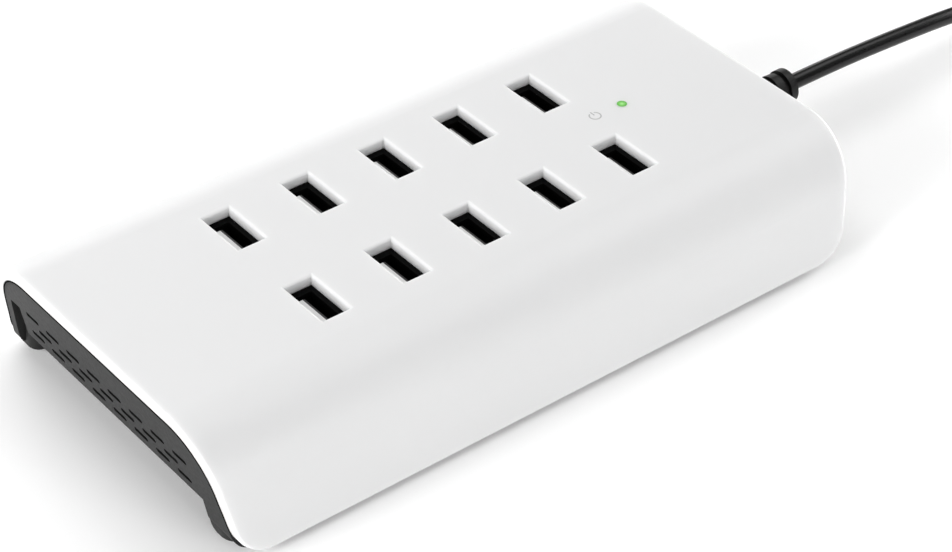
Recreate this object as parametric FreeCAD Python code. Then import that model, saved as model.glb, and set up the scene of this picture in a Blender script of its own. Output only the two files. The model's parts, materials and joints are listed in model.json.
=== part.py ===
import FreeCAD, Part

import math
import os

from FreeCAD import Vector

# Ten-port desktop USB charging station. Millimetres, +Z up, standing on its rubber feet at Z = 0.
# X runs along the housing, Y across it, the mains lead leaves the +X end.

# Housing form
overall_height = 36.0
floor_gap = 1.6
body_length = 209.0
top_flat_width = 65.8
shoulder_radius = 19.0
side_flare_deg = 11.4
end_lean_deg = 10.2
lower_corner_radius = 10.0
cover_wall = 3.2
edge_round = 0.9
fit_gap = 0.5

# Port pattern
port_columns = 5
port_end_margin = 54.5
row_spacing = 36.8
well_width = 8.25
well_length = 16.75
well_edge_round = 0.8

# Socket
socket_width = 5.12
socket_length = 12.5
socket_depth = 13.0
shell_wall = 0.3
flange_lap = 0.8
flange_thickness = 0.5
tongue_thickness = 1.84
tongue_width = 11.1
tongue_back_gap = 0.72
tongue_below_rim = 0.8
insulator_height = 2.6
insulator_gap = 0.05
contact_width = 1.0
contact_thickness = 0.2
contact_length = 7.0
contact_offsets = (-3.5, -1.0, 1.0, 3.5)

# Indicator
led_from_port = 15.0
light_pipe_diameter = 2.8
light_pipe_collar = 4.6
light_pipe_collar_height = 1.0
led_width = 3.2
led_height = 1.9

# End caps and vents
cap_depth = 12.5
cap_corner_radius = 6.0
cap_wall = 2.4
cap_arch_height = 12.2
panel_thickness = 2.4
notch_strip = 2.8
notch_depth = 5.0
notch_top_depth = 14.5
vent_length = 6.0
vent_width = 1.4
vent_pitch = 9.65
vent_row_pitch = 3.2
vent_top_depth = 14.1
vent_counts = (8, 7, 8)

# Base moulding
arch_clearance = 7.8
base_floor = 2.6
arch_half_width = 40.3
boss_diameter = 7.0
boss_end_gap = 12.0
boss_rail_gap = 0.4
screw_diameter = 3.0
screw_pilot = 2.6
screw_length = 11.0
screw_head_diameter = 5.6
screw_head_height = 1.6
counterbore_clearance = 0.4
cross_slot_width = 0.8
cross_slot_length = 3.2
cross_slot_depth = 0.8

# Rubber feet
foot_length = 22.0
foot_width = 4.2
foot_recess = 1.0
foot_end_gap = 22.0
foot_inset = 3.2

# Boards
board_thickness = 1.6
port_board_margin = 12.0
port_board_lamp_margin = 6.0
port_board_side_margin = 4.35
port_post_columns = 1.5
port_post_inset = 5.0
power_board_end_gap = 3.0
power_board_side_gap = 1.0
power_boss_height = 2.0
power_boss_end_gap = 31.0
power_boss_side_gap = 2.4
post_diameter = 6.0
post_clearance = 0.6
board_screw_diameter = 2.5
board_screw_pilot = 2.1
board_screw_length = 5.0
board_screw_head_diameter = 4.5
board_screw_head_height = 1.5

# Power parts
transformer_from_end = 13.0
transformer_y = 14.0
transformer_length = 24.0
transformer_width = 28.0
transformer_headroom = 1.8
winding_width = 15.0
winding_overhang = 2.5
winding_cover = 3.0
bulk_diameter = 15.0
bulk_middle_gap = 4.0
bulk_side_gap = 0.4
bulk_from_end = 8.5
output_diameter = 8.0
output_height = 12.0
output_from_end = 6.0
output_first_y = -8.0
output_pitch = 9.5
output_count = 3
sink_from_end = 20.5
sink_length = 26.0
sink_y = -21.5
sink_height = 14.0
sink_plate = 2.0
sink_fin_count = 4
sink_fin_depth = 7.0
sink_fin_thickness = 1.2
choke_from_end = 39.0
choke_y = 0.0
choke_outer = 14.0
choke_inner = 6.0
choke_height = 3.4
choke_clearance = 0.8
fuse_length = 12.0
fuse_diameter = 4.0
fuse_from_end = 11.0

# Mains entry
relief_height = 16.2
relief_hole = 8.4
relief_neck = 8.2
relief_barb_diameter = 10.4
relief_flange_diameter = 14.0
relief_flange_thickness = 2.2
relief_barb_length = 2.0
collar_diameter = 18.0
collar_set_in = 2.1
collar_length = 7.2
relief_length = 25.3
relief_base_diameter = 11.0
relief_tip_diameter = 9.8
relief_ring_diameter = 10.4
relief_ring_thickness = 2.4
relief_groove_count = 5
relief_groove_width = 1.3
relief_groove_diameter = 8.0
lead_diameter = 1.1
lead_spacing = 3.0
lead_overlap = 4.0

# Mains lead
cord_diameter = 4.7
cord_route = (
    (127.7, 0.0, 16.2),
    (143.0, 0.0, 16.2),
    (158.0, 0.0, 15.8),
    (174.0, 0.0, 14.95),
    (190.0, 0.0, 13.9),
    (206.0, 0.6, 11.6),
    (220.0, 2.2, 7.6),
    (234.0, 5.0, 3.6),
    (247.0, 8.2, 2.35),
    (258.0, 11.0, 2.35),
)
coil_lead_in = 30.0
coil_middle_radius = 28.0
coil_turn_pitch = 4.85
coil_turns_per_layer = 3.5
coil_layers = 2
coil_round = 2.3
coil_tail = 22.0
tie_width = 6.0
tie_thickness = 1.2
plug_length = 32.0
plug_width = 25.0
plug_height = 14.4
plug_neck_length = 9.0
plug_neck_diameter = 8.4
plug_round = 2.5
blade_spacing = 12.7
blade_width = 6.35
blade_thickness = 1.5
blade_length = 16.0

# Worked-out places
lower_z = floor_gap
flare = math.radians(side_flare_deg)
lean = math.tan(math.radians(end_lean_deg))
half_length = body_length / 2.0
half_flat = top_flat_width / 2.0
shoulder_z = overall_height - shoulder_radius
ceiling_z = overall_height - cover_wall
cap_inner_x = half_length - cap_depth
cap_inset = cover_wall + fit_gap
base_top_z = arch_clearance + base_floor
shell_bottom_z = ceiling_z - socket_depth
port_board_z = shell_bottom_z - board_thickness
power_board_z = base_top_z + power_boss_height
power_top_z = power_board_z + board_thickness
transformer_height = ceiling_z - power_top_z - transformer_headroom
winding_height = transformer_height - 2.0 * winding_cover
cut_margin = 5.0
tolerance = 0.01
front_row_y = -row_spacing / 2.0
back_row_y = row_spacing / 2.0
port_half_span = half_length - port_end_margin
port_pitch = 2.0 * port_half_span / (port_columns - 1)
led_x = port_half_span + led_from_port
boss_x = cap_inner_x - boss_end_gap
boss_y = arch_half_width - boss_rail_gap - (screw_head_diameter + counterbore_clearance) / 2.0
foot_x = cap_inner_x - foot_end_gap
port_board_left = -port_half_span - port_board_margin
port_board_right = led_x + port_board_lamp_margin
port_board_width = row_spacing + socket_length + 2.0 * port_board_side_margin
port_post_x = port_post_columns * port_pitch
port_post_y = port_board_width / 2.0 - port_post_inset
power_board_half = cap_inner_x - power_board_end_gap
power_board_width = 2.0 * (boss_y - boss_diameter / 2.0 - power_board_side_gap)
power_boss_x = power_board_half - power_boss_end_gap
power_boss_y = power_board_width / 2.0 - power_boss_side_gap
bulk_length = power_board_width / 2.0 - bulk_middle_gap - bulk_side_gap
bulk_offset = bulk_middle_gap + bulk_length / 2.0
transformer_x = -power_board_half + transformer_from_end
output_x = -power_board_half + output_from_end
sink_x = -power_board_half + sink_from_end
bulk_x = power_board_half - bulk_from_end
choke_x = power_board_half - choke_from_end
fuse_x = power_board_half - fuse_from_end
collar_outer_x = half_length - collar_set_in
collar_inner_x = collar_outer_x - collar_length
relief_end_x = collar_outer_x + relief_length
board_hole = board_screw_diameter + counterbore_clearance

boss_places = [(sx * boss_x, sy * boss_y) for sx in (-1, 1) for sy in (-1, 1)]
port_post_places = [(sx * port_post_x, sy * port_post_y) for sx in (-1, 1) for sy in (-1, 1)]
power_boss_places = [(sx * power_boss_x, sy * power_boss_y) for sx in (-1, 1) for sy in (-1, 1)]
port_places = [
    (column * port_pitch - port_half_span, row_y)
    for row_y in (back_row_y, front_row_y)
    for column in range(port_columns)
]


def save(shape, node):
    shape.exportStep("parts/" + node + ".step")


def box(x0, x1, y0, y1, z0, z1):
    return Part.makeBox(x1 - x0, y1 - y0, z1 - z0, Vector(x0, y0, z0))


def upright(x, y, z0, z1, diameter):
    return Part.makeCylinder(diameter / 2.0, z1 - z0, Vector(x, y, z0))


def along_x(x0, x1, y, z, diameter):
    return Part.makeCylinder(diameter / 2.0, x1 - x0, Vector(x0, y, z), Vector(1, 0, 0))


def along_y(y0, y1, x, z, diameter):
    return Part.makeCylinder(diameter / 2.0, y1 - y0, Vector(x, y0, z), Vector(0, 1, 0))


def fuse_all(shapes):
    whole = shapes[0]
    if len(shapes) > 1:
        whole = whole.multiFuse(shapes[1:])
    return whole.removeSplitter()


def mirror_x(shape):
    return shape.mirror(Vector(0, 0, 0), Vector(1, 0, 0))


# Half width of the cross-section, set in by inset, at a height
def half_width(inset, z):
    side_y = half_flat + (shoulder_radius - inset) * math.cos(flare)
    side_z = shoulder_z + (shoulder_radius - inset) * math.sin(flare)
    return side_y + (side_z - z) * math.tan(flare)


# Cross-section in the YZ plane, set in by inset: flat top, round shoulders, flared sides
def section_face(inset, bottom_z, x):
    radius = shoulder_radius - inset
    top_z = overall_height - inset
    side_y = half_flat + radius * math.cos(flare)
    side_z = shoulder_z + radius * math.sin(flare)
    mid_angle = (math.pi / 2.0 + flare) / 2.0
    mid_y = half_flat + radius * math.cos(mid_angle)
    mid_z = shoulder_z + radius * math.sin(mid_angle)
    foot_y = half_width(inset, bottom_z)
    edges = [
        Part.LineSegment(Vector(x, -foot_y, bottom_z), Vector(x, -side_y, side_z)),
        Part.Arc(Vector(x, -side_y, side_z), Vector(x, -mid_y, mid_z), Vector(x, -half_flat, top_z)),
        Part.LineSegment(Vector(x, -half_flat, top_z), Vector(x, half_flat, top_z)),
        Part.Arc(Vector(x, half_flat, top_z), Vector(x, mid_y, mid_z), Vector(x, side_y, side_z)),
        Part.LineSegment(Vector(x, side_y, side_z), Vector(x, foot_y, bottom_z)),
        Part.LineSegment(Vector(x, foot_y, bottom_z), Vector(x, -foot_y, bottom_z)),
    ]
    return Part.Face(Part.Wire([edge.toShape() for edge in edges]))


def section_prism(inset, bottom_z, x0, x1):
    return section_face(inset, bottom_z, x0).extrude(Vector(x1 - x0, 0, 0))


# Front elevation as a slab: ends that lean in towards the foot, with round lower corners
def elevation_prism(corner_radius, depth):
    top_x = half_length
    foot_x_at_base = top_x - lean * (overall_height - lower_z)
    turn = math.radians(90.0 - end_lean_deg)
    tangent = corner_radius * math.tan(turn / 2.0)
    end_angle = math.radians(end_lean_deg)
    centre_x = foot_x_at_base - tangent
    centre_z = lower_z + corner_radius
    side_x = foot_x_at_base + tangent * math.sin(end_angle)
    side_z = lower_z + tangent * math.cos(end_angle)
    mid_angle = -end_angle - turn / 2.0
    mid_x = centre_x + corner_radius * math.cos(mid_angle)
    mid_z = centre_z + corner_radius * math.sin(mid_angle)
    y = -depth / 2.0
    top_z = overall_height
    edges = [
        Part.LineSegment(Vector(-top_x, y, top_z), Vector(top_x, y, top_z)),
        Part.LineSegment(Vector(top_x, y, top_z), Vector(side_x, y, side_z)),
        Part.Arc(Vector(side_x, y, side_z), Vector(mid_x, y, mid_z), Vector(centre_x, y, lower_z)),
        Part.LineSegment(Vector(centre_x, y, lower_z), Vector(-centre_x, y, lower_z)),
        Part.Arc(Vector(-centre_x, y, lower_z), Vector(-mid_x, y, mid_z), Vector(-side_x, y, side_z)),
        Part.LineSegment(Vector(-side_x, y, side_z), Vector(-top_x, y, top_z)),
    ]
    return Part.Face(Part.Wire([edge.toShape() for edge in edges])).extrude(Vector(0, depth, 0))


def body_width():
    return 2.0 * half_width(0.0, lower_z)


# Outer form of the housing, set in all round by inset on its long sides
def housing_form(inset):
    prism = section_prism(inset, lower_z, -half_length, half_length)
    return prism.common(elevation_prism(lower_corner_radius, body_width() + 2.0 * cut_margin))


# Edges where two faces of a solid meet at a clear angle
def sharp_edges(solid, least_deg):
    found = []
    for edge in solid.Edges:
        faces = solid.ancestorsOfType(edge, Part.Face)
        if len(faces) != 2:
            continue
        point = edge.valueAt((edge.FirstParameter + edge.LastParameter) / 2.0)
        normals = [face.normalAt(*face.Surface.parameter(point)) for face in faces]
        angle = math.degrees(normals[0].getAngle(normals[1]))
        if angle > least_deg:
            found.append(edge)
    return found


def port_well(x, y):
    half_w = well_width / 2.0
    half_l = well_length / 2.0
    low_z = ceiling_z - cut_margin
    return box(x - half_w, x + half_w, y - half_l, y + half_l, low_z, overall_height + cut_margin)


# Edges of the port wells in the top face
def well_edges(cover):
    found = []
    for edge in cover.Edges:
        limits = edge.BoundBox
        flat = limits.ZMin > overall_height - tolerance
        across = limits.XLength < tolerance and abs(limits.YLength - well_length) < tolerance
        along = limits.YLength < tolerance and abs(limits.XLength - well_width) < tolerance
        if flat and (across or along):
            found.append(edge)
    return found


# Moulded cover: a tunnel-shaped shell with the port wells, the indicator hole and four screw bosses
def top_cover():
    form = housing_form(0.0)
    form = form.makeFillet(edge_round, sharp_edges(form, 20.0))
    reach = half_length + cut_margin
    tunnel = section_prism(cover_wall, lower_z - cut_margin, -reach, reach)
    bosses = [
        upright(x, y, base_top_z, ceiling_z, boss_diameter).common(tunnel)
        for x, y in boss_places
    ]
    cover = fuse_all([form.cut(tunnel)] + bosses)
    cover = cover.cut(Part.makeCompound([port_well(x, y) for x, y in port_places]))
    cover = cover.makeFillet(well_edge_round, well_edges(cover))
    low_z = ceiling_z - cut_margin
    cuts = [upright(led_x, 0.0, low_z, overall_height + cut_margin, light_pipe_diameter)]
    pilot_top = base_top_z + screw_length
    cuts += [upright(x, y, base_top_z - cut_margin, pilot_top, screw_pilot) for x, y in boss_places]
    return cover.cut(Part.makeCompound(cuts))


# Space under the floor of the base, open at both ends between the side rails
def arch_space(x0, x1):
    return box(x0, x1, -arch_half_width, arch_half_width, lower_z - cut_margin, arch_clearance)


def foot_places():
    foot_y = half_width(cap_inset, lower_z) - foot_inset
    return [(sx * foot_x, sy * foot_y) for sx in (-1, 1) for sy in (-1, 1)]


def foot_form(x, y, z0, z1, length, width):
    straight = length - width
    middle = box(x - straight / 2.0, x + straight / 2.0, y - width / 2.0, y + width / 2.0, z0, z1)
    ends = [upright(x + s * straight / 2.0, y, z0, z1, width) for s in (-1, 1)]
    return fuse_all([middle] + ends)


# Grey base: a floor carried on two long rails, with bosses and posts for the boards
def base():
    block = section_prism(cap_inset, lower_z, -cap_inner_x, cap_inner_x)
    block = block.common(elevation_prism(cap_corner_radius, body_width()))
    block = block.common(box(-half_length, half_length, -body_width(), body_width(), 0.0, base_top_z))
    moulding = block.cut(arch_space(-half_length, half_length))
    posts = [upright(x, y, base_top_z, port_board_z, post_diameter) for x, y in port_post_places]
    posts += [upright(x, y, base_top_z, power_board_z, post_diameter) for x, y in power_boss_places]
    moulding = fuse_all([moulding] + posts)
    head_z = arch_clearance + screw_head_height + counterbore_clearance
    cuts = []
    for x, y in boss_places:
        cuts.append(upright(x, y, 0.0, base_top_z + cut_margin, screw_diameter + counterbore_clearance))
        cuts.append(upright(x, y, 0.0, head_z, screw_head_diameter + counterbore_clearance))
    pilot = board_screw_length - board_thickness + counterbore_clearance
    for x, y in port_post_places:
        cuts.append(upright(x, y, port_board_z - pilot, port_board_z, board_screw_pilot))
    for x, y in power_boss_places:
        cuts.append(upright(x, y, power_board_z - pilot, power_board_z, board_screw_pilot))
    cuts += [rubber_foot(x, y) for x, y in foot_places()]
    return moulding.cut(Part.makeCompound(cuts))


def rubber_foot(x, y):
    return foot_form(x, y, 0.0, lower_z + foot_recess, foot_length, foot_width)


# Place of the -X end face, set in by set_in, at a height
def end_x(z, set_in):
    return -half_length + set_in + lean * (overall_height - z)


# Prism across the housing with an outline of (x, z) corners
def across_prism(corners):
    width = body_width()
    points = [Vector(x, -width, z) for x, z in corners]
    return Part.Face(Part.makePolygon(points + points[:1])).extrude(Vector(0, 2.0 * width, 0))


# Wedge under the -X cap from low_z up to a ceiling that climbs outwards from inner_z
def climbing_wedge(inner_z, low_z):
    edge_x = end_x(cap_arch_height, 0.0)
    climb = (cap_arch_height - arch_clearance) / (-cap_inner_x - edge_x)
    outer_x = edge_x - cut_margin
    outer_z = inner_z + climb * (-cap_inner_x - outer_x)
    corners = [(-cap_inner_x, low_z), (-cap_inner_x, inner_z), (outer_x, outer_z), (outer_x, low_z)]
    return across_prism(corners)


# Opening below the face of the -X cap, between its legs
def cap_arch():
    wedge = climbing_wedge(arch_clearance, lower_z - cut_margin)
    reach = half_length + cut_margin
    between = box(-reach, 0.0, -arch_half_width, arch_half_width, lower_z - cut_margin, overall_height)
    return wedge.common(between)


# Slab that runs from outside the -X end to set_in behind its face
def end_slab(set_in):
    outer_x = -half_length - cut_margin
    low_z = lower_z - cut_margin
    top_z = overall_height
    return across_prism([
        (outer_x, low_z),
        (end_x(low_z, set_in), low_z),
        (end_x(top_z, set_in), top_z),
        (outer_x, top_z),
    ])


# Notch beside the rear leg: the face stops short of the leg's outer strip
def leg_notch():
    inset = cap_inset + notch_strip
    zone = section_prism(inset, lower_z - cut_margin, -half_length - cut_margin, 0.0)
    top_z = overall_height - notch_top_depth
    beside = box(-half_length - cut_margin, 0.0, arch_half_width, body_width(), lower_z - cut_margin, top_z)
    return zone.common(beside).common(end_slab(notch_depth))


# Space behind the face, closed below by a floor that runs down to the base's floor
def cap_cavity():
    inside = section_prism(cap_inset + cap_wall, base_top_z, -half_length, -cap_inner_x + cut_margin)
    inside = inside.cut(end_slab(panel_thickness))
    behind_notch = end_slab(notch_depth + panel_thickness)
    beside = box(-half_length, 0.0, arch_half_width - cap_wall, body_width(), 0.0, overall_height)
    inside = inside.cut(behind_notch.common(beside))
    return inside.cut(climbing_wedge(base_top_z, lower_z))


# One vent slot with round ends, lying along Y and cutting through the panel along X
def vent_slot(y, z):
    straight = vent_length - vent_width
    x0 = -half_length - cut_margin
    x1 = -cap_inner_x + cut_margin
    middle = box(x0, x1, y - straight / 2.0, y + straight / 2.0, z - vent_width / 2.0, z + vent_width / 2.0)
    ends = [along_x(x0, x1, y + s * straight / 2.0, z, vent_width) for s in (-1, 1)]
    return fuse_all([middle] + ends)


# Centres of the vent slots: rows set off by half a pitch, as bricks are
def vent_places():
    places = []
    for row, count in enumerate(vent_counts):
        z = overall_height - vent_top_depth - row * vent_row_pitch
        for column in range(count):
            places.append(((column - (count - 1) / 2.0) * vent_pitch, z))
    return places


# End cap of the -X end: a leaning face with rows of vents, standing on two legs
def end_cap(keep_clear):
    form = section_prism(cap_inset, lower_z, -half_length, -cap_inner_x)
    form = form.common(elevation_prism(cap_corner_radius, body_width()))
    cap = form.cut(cap_arch())
    cap = cap.cut(leg_notch())
    cap = cap.cut(cap_cavity())
    slots = [vent_slot(y, z) for y, z in vent_places() if clear_of_entry(y, z, keep_clear)]
    return cap.cut(Part.makeCompound(slots)).removeSplitter()


# True where a vent slot stays outside a round zone about the mains entry
def clear_of_entry(y, z, radius):
    nearest_y = max(abs(y) - vent_length / 2.0, 0.0)
    nearest_z = max(abs(z - relief_height) - vent_width / 2.0, 0.0)
    return math.hypot(nearest_y, nearest_z) >= radius


def end_cap_left():
    return end_cap(0.0)


# The +X cap has a round collar with upright faces for the mains entry
def end_cap_right():
    cap = mirror_x(end_cap(collar_diameter / 2.0 + vent_width))
    collar = along_x(collar_inner_x, collar_outer_x, 0.0, relief_height, collar_diameter)
    reach = half_length + cut_margin
    above_arch = box(0.0, reach, -body_width(), body_width(), arch_clearance, overall_height)
    hole = along_x(0.0, reach, 0.0, relief_height, relief_hole)
    barb_space = along_x(0.0, collar_inner_x, 0.0, relief_height, relief_barb_diameter + fit_gap)
    return fuse_all([cap, collar.common(above_arch)]).cut(hole).cut(barb_space)


# Socket can with a flange that closes the foot of its well
def usb_shell(x, y):
    half_w = socket_width / 2.0 + shell_wall
    half_l = socket_length / 2.0 + shell_wall
    flange_w = well_width / 2.0 + flange_lap
    flange_l = well_length / 2.0 + flange_lap
    can = box(x - half_w, x + half_w, y - half_l, y + half_l, shell_bottom_z, ceiling_z)
    flange_z = ceiling_z - flange_thickness
    flange = box(x - flange_w, x + flange_w, y - flange_l, y + flange_l, flange_z, ceiling_z)
    inside = box(
        x - socket_width / 2.0, x + socket_width / 2.0,
        y - socket_length / 2.0, y + socket_length / 2.0,
        shell_bottom_z, ceiling_z + cut_margin,
    )
    return fuse_all([can, flange]).cut(inside)


# Insulator that fills the foot of the can and carries the tongue
def usb_tongue(x, y):
    half_w = socket_width / 2.0 - insulator_gap
    half_l = socket_length / 2.0 - insulator_gap
    foot_z = shell_bottom_z + insulator_height
    foot = box(x - half_w, x + half_w, y - half_l, y + half_l, shell_bottom_z, foot_z)
    x0 = x - socket_width / 2.0 + tongue_back_gap
    plate = box(
        x0, x0 + tongue_thickness,
        y - tongue_width / 2.0, y + tongue_width / 2.0,
        shell_bottom_z, ceiling_z - tongue_below_rim,
    )
    return fuse_all([foot, plate])


# Four contact strips on the face of the tongue
def usb_contacts(x, y):
    x0 = x - socket_width / 2.0 + tongue_back_gap + tongue_thickness
    z0 = shell_bottom_z + insulator_height
    strips = [
        box(x0, x0 + contact_thickness, y + offset - contact_width / 2.0, y + offset + contact_width / 2.0,
            z0, z0 + contact_length)
        for offset in contact_offsets
    ]
    return Part.makeCompound(strips)


def power_led():
    half = led_width / 2.0
    top_z = port_board_z + board_thickness
    return box(led_x - half, led_x + half, -half, half, top_z, top_z + led_height)


# Clear rod from the lamp to the top face, with a collar under the cover
def light_pipe():
    foot_z = port_board_z + board_thickness + led_height
    rod = upright(led_x, 0.0, foot_z, overall_height, light_pipe_diameter)
    collar = upright(led_x, 0.0, ceiling_z - light_pipe_collar_height, ceiling_z, light_pipe_collar)
    return fuse_all([rod, collar])


def port_board():
    half = port_board_width / 2.0
    board = box(port_board_left, port_board_right, -half, half, port_board_z, port_board_z + board_thickness)
    holes = [
        upright(x, y, port_board_z - cut_margin, port_board_z + cut_margin, board_hole)
        for x, y in port_post_places
    ]
    opening = choke_outer + 2.0 * choke_clearance
    holes.append(upright(choke_x, choke_y, port_board_z - cut_margin, port_board_z + cut_margin, opening))
    return board.cut(Part.makeCompound(holes))


def power_board():
    half_w = power_board_width / 2.0
    board = box(-power_board_half, power_board_half, -half_w, half_w, power_board_z, power_top_z)
    low_z = power_board_z - cut_margin
    high_z = power_top_z + cut_margin
    post_hole = post_diameter + 2.0 * post_clearance
    holes = [upright(x, y, low_z, high_z, board_hole) for x, y in power_boss_places]
    holes += [upright(x, y, low_z, high_z, post_hole) for x, y in port_post_places]
    return board.cut(Part.makeCompound(holes))


# Ferrite core with windows either side of its middle limb
def transformer_core():
    half_l = transformer_length / 2.0
    half_w = transformer_width / 2.0
    z1 = power_top_z + transformer_height
    core = box(transformer_x - half_l, transformer_x + half_l,
               transformer_y - half_w, transformer_y + half_w, power_top_z, z1)
    return core.cut(winding_form())


# Space that the winding takes up: it passes through the core along Y and stands out at both ends
def winding_form():
    half_l = winding_width / 2.0
    half_w = transformer_width / 2.0 + winding_overhang
    z0 = power_top_z + (transformer_height - winding_height) / 2.0
    form = box(transformer_x - half_l, transformer_x + half_l,
               transformer_y - half_w, transformer_y + half_w, z0, z0 + winding_height)
    ends = [edge for edge in form.Edges if edge.BoundBox.YLength > winding_width]
    return form.makeFillet(winding_overhang, ends)


def bulk_capacitors():
    z = power_top_z + bulk_diameter / 2.0
    cans = []
    for s in (-1, 1):
        y = s * bulk_offset
        cans.append(along_y(y - bulk_length / 2.0, y + bulk_length / 2.0, bulk_x, z, bulk_diameter))
    return Part.makeCompound(cans)


def output_capacitors():
    high_z = power_top_z + output_height
    places = [output_first_y - i * output_pitch for i in range(output_count)]
    return Part.makeCompound([upright(output_x, y, power_top_z, high_z, output_diameter) for y in places])


# Plate with fins, standing on the power board beside the transformer
def heat_sink():
    half = sink_length / 2.0
    z1 = power_top_z + sink_height
    x0 = sink_x - sink_plate / 2.0
    plate = box(x0, x0 + sink_plate, sink_y - half, sink_y + half, power_top_z, z1)
    fin_pitch = (sink_length - sink_fin_thickness) / (sink_fin_count - 1)
    fins = []
    for i in range(sink_fin_count):
        y0 = sink_y - half + i * fin_pitch
        fins.append(box(x0 - sink_fin_depth, x0, y0, y0 + sink_fin_thickness, power_top_z, z1))
    return fuse_all([plate] + fins)


# Wound ring that lies on the power board
def filter_choke():
    ring = upright(choke_x, choke_y, power_top_z, power_top_z + choke_height, choke_outer)
    return ring.cut(upright(choke_x, choke_y, 0.0, overall_height, choke_inner))


def mains_fuse():
    z = power_top_z + fuse_diameter / 2.0
    x0 = fuse_x - fuse_length / 2.0
    return along_x(x0, x0 + fuse_length, 0.0, z, fuse_diameter)


# Pan-head screw pointing up, its head's underside at seat_z, with a cross slot in the head
def screw_up(x, y, seat_z, diameter, length, head_diameter, head_height):
    body = fuse_all([
        upright(x, y, seat_z, seat_z + length, diameter),
        upright(x, y, seat_z - head_height, seat_z, head_diameter),
    ])
    return body.cut(cross_slot(x, y, seat_z - head_height, 1.0))


def cross_slot(x, y, face_z, direction):
    half_l = cross_slot_length / 2.0
    half_w = cross_slot_width / 2.0
    z0, z1 = sorted((face_z - direction * cross_slot_depth, face_z + direction * cross_slot_depth))
    return fuse_all([
        box(x - half_l, x + half_l, y - half_w, y + half_w, z0, z1),
        box(x - half_w, x + half_w, y - half_l, y + half_l, z0, z1),
    ])


def housing_screws():
    seat_z = arch_clearance + screw_head_height + counterbore_clearance
    length = base_top_z - seat_z + screw_length - 1.0
    return Part.makeCompound([
        screw_up(x, y, seat_z, screw_pilot, length, screw_head_diameter, screw_head_height)
        for x, y in boss_places
    ])


def board_screw(x, y, top_z):
    shank = upright(x, y, top_z - board_screw_length, top_z, board_screw_pilot)
    head = upright(x, y, top_z, top_z + board_screw_head_height, board_screw_head_diameter)
    body = fuse_all([shank, head])
    return body.cut(cross_slot(x, y, top_z + board_screw_head_height, -1.0))


def board_screws():
    screws = [board_screw(x, y, port_board_z + board_thickness) for x, y in port_post_places]
    screws += [board_screw(x, y, power_top_z) for x, y in power_boss_places]
    return Part.makeCompound(screws)


# Strain relief turned about the lead: a barb and a flange hold the collar, then a grooved boot
def strain_relief():
    inner_x = collar_inner_x - relief_barb_length
    boot_x = collar_outer_x + relief_flange_thickness
    ring_x = relief_end_x - relief_ring_thickness
    outline = [
        (inner_x, 0.0),
        (inner_x, relief_neck / 2.0),
        (collar_inner_x, relief_barb_diameter / 2.0),
        (collar_inner_x, relief_neck / 2.0),
        (collar_outer_x, relief_neck / 2.0),
        (collar_outer_x, relief_flange_diameter / 2.0),
        (boot_x, relief_flange_diameter / 2.0),
        (boot_x, relief_base_diameter / 2.0),
    ]
    pitch = (ring_x - boot_x) / relief_groove_count
    groove_r = relief_groove_diameter / 2.0
    for i in range(relief_groove_count):
        groove_end = boot_x + (i + 1) * pitch
        groove_start = groove_end - relief_groove_width
        share = (i + 1) / relief_groove_count
        radius = (relief_base_diameter + (relief_tip_diameter - relief_base_diameter) * share) / 2.0
        outline += [(groove_start, radius), (groove_start, groove_r), (groove_end, groove_r)]
        if i + 1 < relief_groove_count:
            outline.append((groove_end, radius))
    ring_r = relief_ring_diameter / 2.0
    outline += [(ring_x, ring_r), (relief_end_x, ring_r), (relief_end_x, 0.0)]
    points = [Vector(x, 0.0, relief_height + r) for x, r in outline]
    face = Part.Face(Part.makePolygon(points + points[:1]))
    return face.revolve(Vector(0, 0, relief_height), Vector(1, 0, 0), 360.0)


# Two insulated wires from the lead to the power board
def mains_leads():
    relief_x = collar_inner_x - relief_barb_length
    start_x = power_board_half - lead_overlap
    z = power_top_z + lead_diameter / 2.0
    return Part.makeCompound([
        along_x(start_x, relief_x, s * lead_spacing / 2.0, z, lead_diameter) for s in (-1, 1)
    ])


# Path of straight runs joined by tangent arcs, each arc as large as its two runs allow
def cord_path(points):
    edges = []
    start = points[0]
    for before, corner, after in zip(points, points[1:], points[2:]):
        run_in = (corner - before)
        run_out = (after - corner)
        shorter = min(run_in.Length, run_out.Length)
        direction_in = Vector(run_in).normalize()
        direction_out = Vector(run_out).normalize()
        turn = direction_in.getAngle(direction_out)
        setback = 0.45 * shorter
        radius = setback / math.tan(turn / 2.0)
        print("cord bend radius %.1f mm" % radius)
        arc_start = corner - direction_in * setback
        arc_end = corner + direction_out * setback
        bisector = (direction_out - direction_in).normalize()
        to_centre = radius / math.cos(turn / 2.0)
        arc_mid = corner + bisector * (to_centre - radius)
        edges.append(Part.LineSegment(start, arc_start).toShape())
        edges.append(Part.Arc(arc_start, arc_mid, arc_end).toShape())
        start = arc_end
    edges.append(Part.LineSegment(start, points[-1]).toShape())
    return Part.Wire(edges)


def power_cord():
    points = [Vector(*point) for point in cord_route]
    path = cord_path(points)
    direction = (points[1] - points[0]).normalize()
    circle = Part.Circle(points[0], direction, cord_diameter / 2.0).toShape()
    tube = path.makePipeShell([Part.Wire(circle)], True, True)
    expected = math.pi * cord_diameter ** 2 / 4.0 * path.Length
    print("cord run %.1f mm, volume ratio %.4f" % (path.Length, tube.Volume / expected))
    return tube


# Way that the lead runs where it comes to the coil
def coil_direction():
    return (Vector(*cord_route[-1]) - Vector(*cord_route[-2])).normalize()


# Radius of the coil's outermost turn, at the middle of the lead
def outer_turn_radius():
    return coil_middle_radius + coil_turn_pitch * coil_turns_per_layer / 2.0


# Half the width of the coil's bundle of turns
def coil_half_width():
    return (coil_turn_pitch * coil_turns_per_layer + cord_diameter) / 2.0


def coil_height():
    return coil_turn_pitch * (coil_layers - 1) + cord_diameter


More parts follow.
